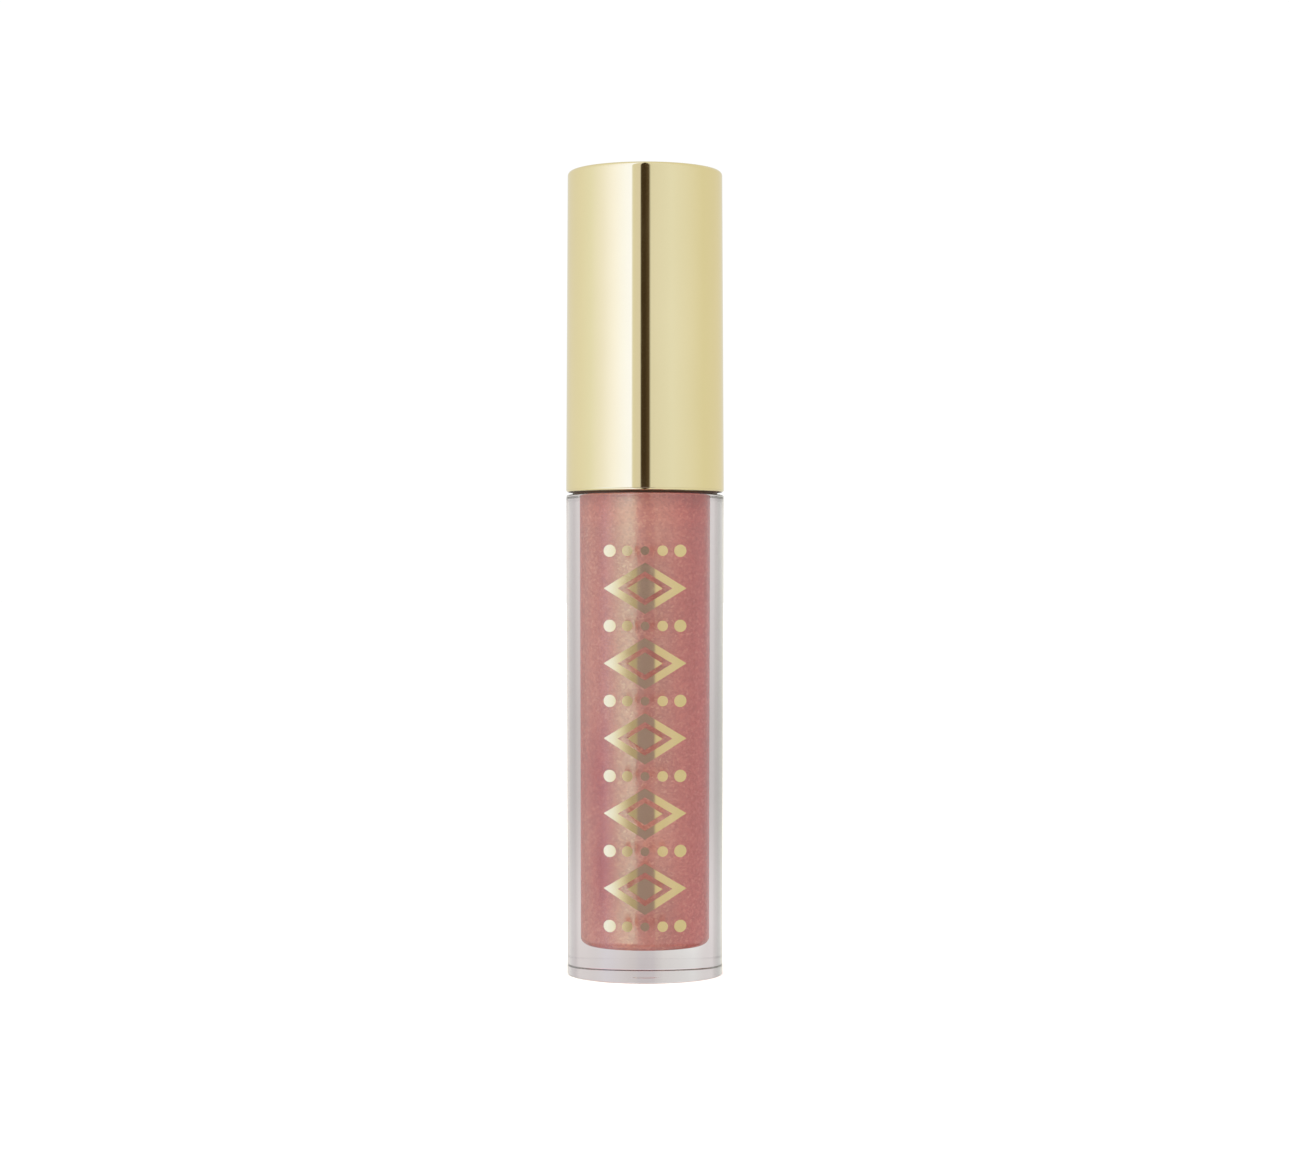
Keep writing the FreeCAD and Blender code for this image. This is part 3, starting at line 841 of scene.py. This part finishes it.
# Reflected rays below it.
LOWER_CARDS = [
    (-180, (0.80, 0.78, 0.72)),
    (-150, (0.80, 0.78, 0.75)),
    (-110, (0.84, 0.82, 0.78)),
    (-88, (0.90, 0.95, 1.05)),
    (-74, (1.02, 1.16, 1.50)),
    (-60, (1.08, 1.25, 1.92)),
    (-49, (1.02, 1.16, 1.62)),
    (-36, (0.86, 0.87, 0.96)),
    (-24, (0.59, 0.536, 0.53)),
    (-18, (0.51, 0.46, 0.42)),
    (-12, (0.51, 0.46, 0.44)),
    (-10.6, (0.37, 0.30, 0.41)),
    (13.2, (0.37, 0.29, 0.39)),
    (15.4, (0.75, 0.71, 0.64)),
    (38, (0.78, 0.74, 0.71)),
    (56, (0.74, 0.73, 0.64)),
    (66, (0.75, 0.73, 0.66)),
    (90, (0.76, 0.74, 0.66)),
    (134, (0.77, 0.75, 0.67)),
    (180, (0.80, 0.78, 0.72)),
]
# Light seen through clear plastic, directly or by way of the product's wet skin.
CLEAR_LIGHT = [
    (-180, (0.56, 0.52, 0.52)),
    (-175, (0.57, 0.53, 0.53)),
    (-170, (0.65, 0.62, 0.605)),
    (-160, (0.68, 0.66, 0.65)),
    (-150, (0.72, 0.71, 0.70)),
    (-140, (0.66, 0.62, 0.62)),
    (-128, (0.66, 0.61, 0.62)),
    (-123, (0.51, 0.465, 0.475)),
    (-114, (0.40, 0.385, 0.40)),
    (-104, (0.50, 0.49, 0.50)),
    (-92, (0.98, 0.92, 0.80)),
    (-78, (0.92, 0.86, 0.75)),
    (-60, (0.80, 0.79, 0.775)),
    (-20, (0.79, 0.81, 0.75)),
    (2.8, (0.80, 0.825, 0.775)),
    (4.6, (0.47, 0.425, 0.41)),
    (12.6, (0.47, 0.425, 0.41)),
    (14.6, (0.83, 0.84, 0.76)),
    (50, (0.78, 0.73, 0.70)),
    (74, (0.71, 0.58, 0.58)),
    (91, (0.75, 0.58, 0.59)),
    (106, (0.68, 0.65, 0.64)),
    (116, (0.57, 0.545, 0.55)),
    (124, (0.55, 0.505, 0.51)),
    (130, (0.66, 0.61, 0.61)),
    (140, (0.66, 0.61, 0.60)),
    (150, (0.63, 0.58, 0.56)),
    (166, (0.65, 0.61, 0.60)),
    (174, (0.62, 0.58, 0.57)),
    (177, (0.57, 0.53, 0.53)),
    (180, (0.56, 0.52, 0.52)),
]
# Light that falls on matt surfaces.
MATT_LIGHT = [
    (-180, (0.65, 0.62, 0.60)),
    (-104, (0.50, 0.48, 0.48)),
    (-92, (2.00, 1.85, 1.60)),
    (-78, (1.85, 1.72, 1.50)),
    (-60, (1.60, 1.58, 1.55)),
    (-20, (1.62, 1.66, 1.50)),
    (14, (1.72, 1.74, 1.54)),
    (50, (1.62, 1.50, 1.42)),
    (74, (1.44, 1.08, 1.12)),
    (91, (1.48, 0.98, 1.08)),
    (106, (0.65, 0.55, 0.57)),
    (180, (0.65, 0.62, 0.60)),
]
# A strip of bright light on the left, added to both, and the share of it that clear plastic shows.
STRIP_CARD = [
    (-180, (0, 0, 0)),
    (-98, (0, 0, 0)),
    (-80, (0.2, 0.4, 0.15)),
    (-58, (1.4, 2.4, 1.5)),
    (-43, (2.1, 3.4, 2.4)),
    (-28, (2.2, 3.6, 2.6)),
    (-22.0, (2.2, 3.6, 2.6)),
    (-19.4, (0.25, 0.3, 0.25)),
    (0, (0, 0, 0)),
    (180, (0, 0, 0)),
]
CLEAR_STRIP = 0.5
# Extra light from behind, for the clear base. It fades in and out over two spans of heights.
BACK_CARD = [
    (-180, (0.25, 0.22, 0.24)),
    (-166, (0.32, 0.32, 0.36)),
    (-154, (0.27, 0.23, 0.27)),
    (-138, (0, 0, 0)),
    (138, (0, 0, 0)),
    (150, (0.26, 0.0, 0.06)),
    (166, (0.20, 0.03, 0.06)),
    (180, (0.25, 0.22, 0.24)),
]
BACK_FOOT = (-0.125, -0.115)
BACK_HEAD = (0.06, 0.10)
# Brightness seen through clear plastic by the height of the ray, up to a limit either way.
RAY_LIMIT = 0.25
RAY_HEIGHTS = [
    (-0.200, 1.00),
    (-0.130, 1.00),
    (-0.113, 1.08),
    (-0.099, 1.02),
    (-0.085, 0.92),
    (-0.071, 0.84),
    (-0.043, 0.84),
    (-0.029, 0.89),
    (0.000, 0.95),
    (0.027, 0.99),
    (0.200, 1.00),
]
# How strongly each compass angle follows that.
HEIGHT_SHARE = [
    (-180, 3.0),
    (-150, 3.0),
    (-135, 1.2),
    (-112, 1.2),
    (-100, 3.0),
    (-70, 3.0),
    (-50, 1.0),
    (-25, 0.0),
    (100, 0.0),
    (108, 1.0),
    (150, 1.2),
    (166, 2.0),
    (180, 3.0),
]
# Spans of heights where the upper cards take over from the lower: sharply ahead of the tube, softly
# beside it. Far below they take over again.
JOINT = (0.0175, 0.030)
JOINT_BESIDE = (-0.10, 0.030)
BESIDE = [
    (-180, 1),
    (-88, 1),
    (-64, 0),
    (64, 0),
    (88, 1),
    (180, 1),
]
FAR_BELOW = (-0.45, -0.145)
# Height at which the strip ends, above and below.
STRIP_HALF_HEIGHT = (0.2, 0.35)
# The matt light's gain high up and low down, and the light overhead.
HIGH = (0.25, 0.45)
HIGH_GAIN = 1.5
LOW = (-0.45, -0.25)
LOW_GAIN = 0.5
ZENITH = (0.70, 0.80)
ZENITH_LIGHT = 0.6
# What the camera sees past the tube.
BACKDROP = (1.02, 1.02, 1.02)


def greys(stops):
    """Stops that have one number each, as stops of grey."""
    return [(position, (value,) * 3) for position, value in stops]


class Studio(Nodes):
    """World light that depends on the direction a ray looks in."""

    def __init__(self, world):
        super().__init__(world.node_tree)
        self.tree.nodes.clear()
        split = self.add("ShaderNodeSeparateXYZ")
        self.feed(self.add("ShaderNodeTexCoord").outputs["Generated"], split.inputs[0])
        east, north, self.up = split.outputs
        angle = self.calc("ARCTAN2", east, self.calc("MULTIPLY", north, -1.0))
        self.turn = self.calc("MULTIPLY_ADD", angle, 1 / (2 * math.pi), 0.5)
        self.level = self.fit(self.calc("ABSOLUTE", self.up), *STRIP_HALF_HEIGHT, 1, 0, soft=True)

    def cards(self, stops):
        """The colour that a table gives for the ray's compass angle."""
        return self.ramp(self.turn, [((degrees + 180) / 360, colour) for degrees, colour in stops])

    def rise(self, span, low=0, high=1):
        """Eases from one number to another as the ray's height rises through a span."""
        return self.fit(self.up, *span, low, high, soft=True)

    def matt(self):
        """What falls on matt surfaces: cards, the strip, and a soft light overhead."""
        gain = self.calc("MULTIPLY", self.rise(LOW, LOW_GAIN, 1), self.rise(HIGH, 1, HIGH_GAIN))
        light = self.scale(self.cards(MATT_LIGHT), gain)
        light = self.mix(self.level, light, self.cards(STRIP_CARD), "ADD")
        return self.mix(self.rise(ZENITH), light, (ZENITH_LIGHT,) * 3, "ADD")

    def clear(self):
        """What shows through clear plastic: toned cards, some of the strip, and the back card."""
        height = self.fit(self.up, -RAY_LIMIT, RAY_LIMIT)
        stops = [((z / RAY_LIMIT + 1) / 2, tone) for z, tone in RAY_HEIGHTS]
        lost = self.calc("SUBTRACT", 1.0, self.ramp(height, greys(stops)))
        lost = self.calc("MULTIPLY", lost, self.cards(greys(HEIGHT_SHARE)))
        light = self.scale(self.cards(CLEAR_LIGHT), self.calc("SUBTRACT", 1.0, lost))
        strip = self.calc("MULTIPLY", self.level, CLEAR_STRIP)
        light = self.mix(strip, light, self.cards(STRIP_CARD), "ADD")
        between = self.calc("MULTIPLY", self.rise(BACK_FOOT), self.rise(BACK_HEAD, 1, 0))
        return self.mix(between, light, self.cards(BACK_CARD), "ADD")

    def mirrored(self):
        """What mirrors show: one set of cards above the joint of cap and bottle, another below it."""
        beside = self.calc("MULTIPLY", self.rise(JOINT_BESIDE), self.cards(greys(BESIDE)))
        upper = self.calc("MAXIMUM", self.rise(JOINT), beside)
        upper = self.calc("MAXIMUM", upper, self.rise(FAR_BELOW, 1, 0))
        return self.mix(upper, self.cards(LOWER_CARDS), self.cards(UPPER_CARDS))


def make_studio():
    """Soft light cards round the tube, with white behind it."""
    world = bpy.data.worlds.new("studio")
    bpy.context.scene.world = world
    world.use_nodes = True
    s = Studio(world)
    path = s.add("ShaderNodeLightPath").outputs
    undiffused = s.calc("LESS_THAN", path["Diffuse Depth"], 0.5)
    through = s.calc("MULTIPLY", path["Is Transmission Ray"], undiffused)
    off_mirror = s.calc("MULTIPLY", path["Is Glossy Ray"], path["Is Reflection Ray"])
    lit = s.mix(off_mirror, s.mix(through, s.matt(), s.clear()), s.mirrored())
    shade = s.add("ShaderNodeBackground")
    s.feed(s.mix(path["Is Camera Ray"], lit, BACKDROP), shade.inputs["Color"])
    s.feed(shade.outputs[0], s.add("ShaderNodeOutputWorld").inputs["Surface"])


def make_floor():
    """Pale floor that mirrors and clear plastic don't see."""
    half = FLOOR_HALF
    corners = [(-half, -half, 0), (half, -half, 0), (half, half, 0), (-half, half, 0)]
    floor = mesh_object("floor", corners, [(0, 1, 2, 3)])
    dress(floor, pale_floor())
    floor.visible_glossy = False
    floor.visible_transmission = False


make_camera()
make_studio()
make_floor()
make_bottle()
make_gloss()
make_cap()
make_ornament()
make_flock()
finish_inner_parts()
bpy.context.scene.view_settings.view_transform = "Standard"
bounces = bpy.context.scene.cycles
bounces.max_bounces = CLEAR_BOUNCES
bounces.transmission_bounces = CLEAR_BOUNCES
bounces.glossy_bounces = GLOSSY_BOUNCES
